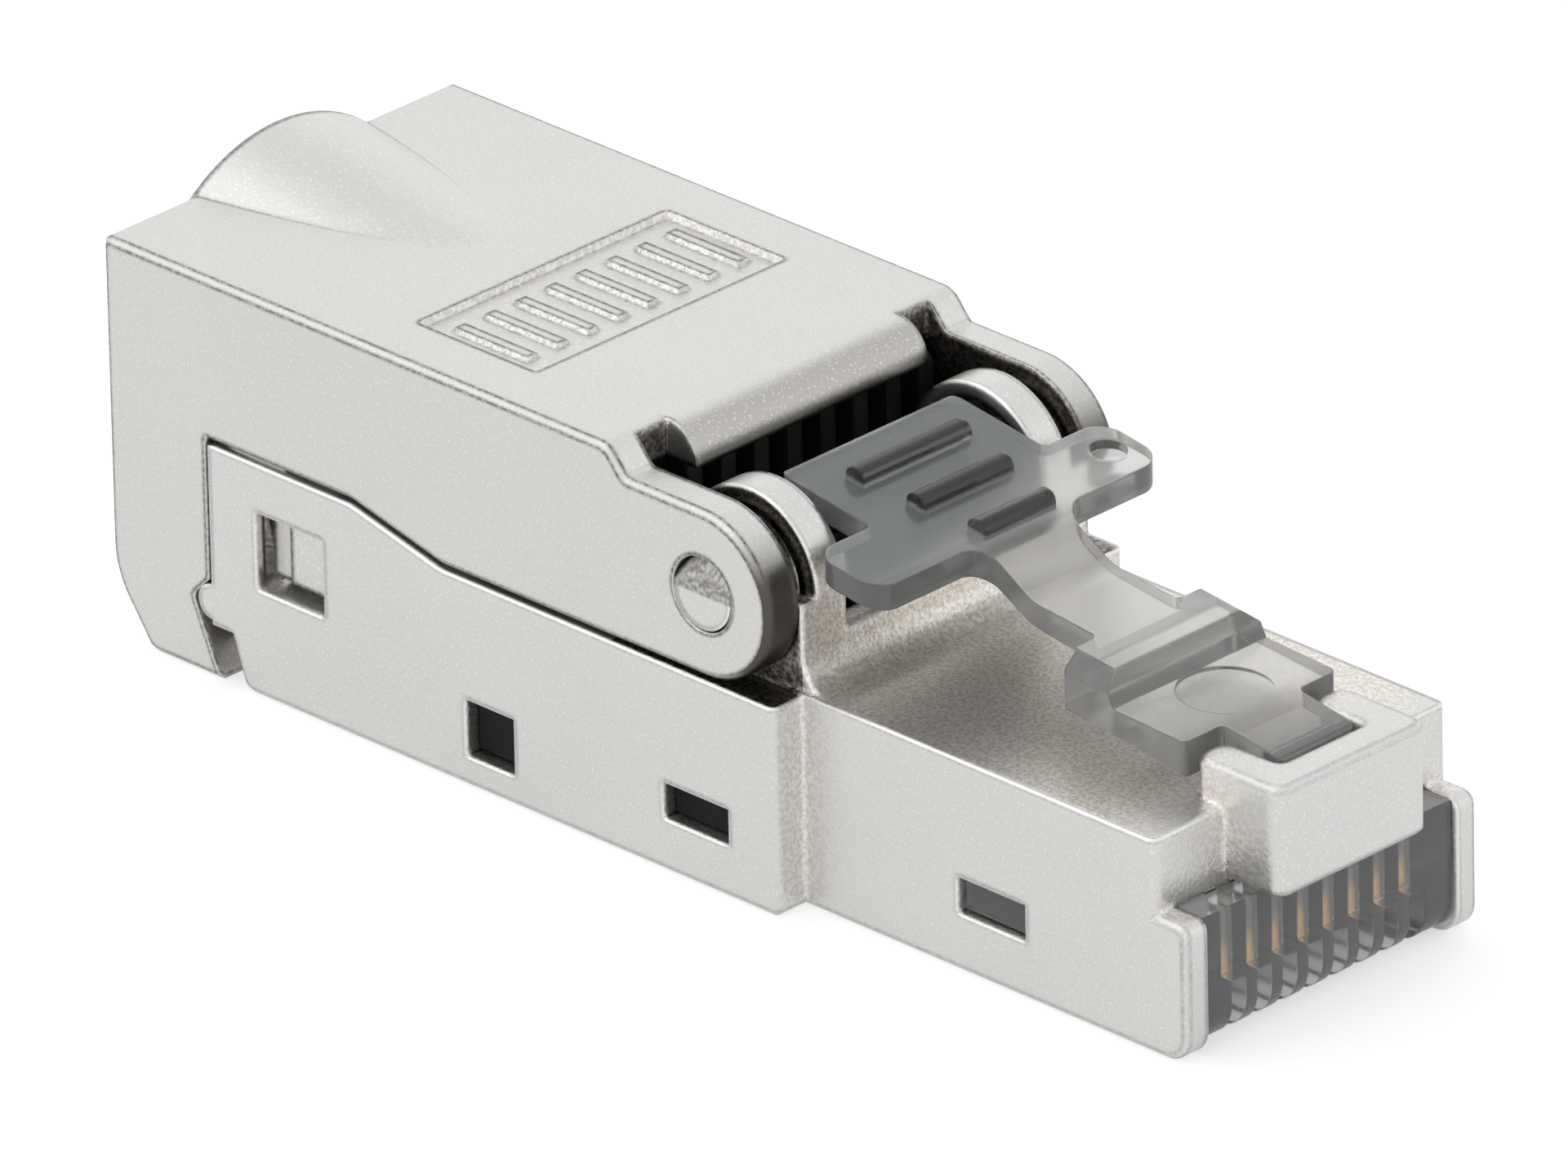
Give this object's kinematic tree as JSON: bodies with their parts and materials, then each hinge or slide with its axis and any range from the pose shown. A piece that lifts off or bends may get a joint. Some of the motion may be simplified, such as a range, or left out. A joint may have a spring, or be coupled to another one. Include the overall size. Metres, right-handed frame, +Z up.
{
  "type": "shielded ethernet plug",
  "caption": "Shielded modular ethernet plug with a die-cast housing, a hinged cover over the wire termination and a pivoting clear release latch.",
  "frame": {"origin": "centre of the plug's outline in plan, on the plane of the underside", "axes": "+X along the plug from the cable entry to the nose, +Z up from the underside through the hinged cover, +Y to the left seen from the cable end"},
  "size_m": [0.0424, 0.014, 0.0137],
  "materials": {
    "nickel_casting": "satin nickel plating on a zinc die casting",
    "smoke_clear": "clear smoke polycarbonate, polished",
    "smoke_dark": "dark smoke polycarbonate, polished",
    "gold_contact": "gold-plated contact alloy",
    "tinned_fork": "tin-plated contact alloy",
    "board_green": "circuit board with solder mask",
    "black_plastic": "black glass-filled plastic",
    "spring_bronze": "nickel-plated spring bronze"
  },
  "bodies": {
    "housing": {"lower_housing": "nickel_casting", "contact_carrier": "smoke_dark", "plug_contact_1": "gold_contact", "plug_contact_2": "gold_contact", "plug_contact_3": "gold_contact", "plug_contact_4": "gold_contact", "plug_contact_5": "gold_contact", "plug_contact_6": "gold_contact", "plug_contact_7": "gold_contact", "plug_contact_8": "gold_contact", "circuit_board": "board_green", "board_tray": "black_plastic", "fork_block": "black_plastic", "idc_fork_1": "tinned_fork", "idc_fork_2": "tinned_fork", "idc_fork_3": "tinned_fork", "idc_fork_4": "tinned_fork", "idc_fork_5": "tinned_fork", "idc_fork_6": "tinned_fork", "idc_fork_7": "tinned_fork", "idc_fork_8": "tinned_fork", "wire_manager": "black_plastic", "shield_spring": "spring_bronze"},
    "cover": {"hinged_cover": "nickel_casting"},
    "latch": {"release_latch": "smoke_clear"}
  },
  "joints": [
    {"name": "cover_hinge", "type": "hinge", "parent": "housing", "child": "cover", "pos_m": [0.00275, 0, 0.0092], "axis": [0, 1, 0], "range_deg": [0, 85]},
    {"name": "latch_press", "type": "hinge", "parent": "housing", "child": "latch", "pos_m": [0.01915, 0, 0.00703], "axis": [0, -1, 0], "range_deg": [0, 6.5], "stiffness_Nm_per_rad": 0.1}
  ]
}
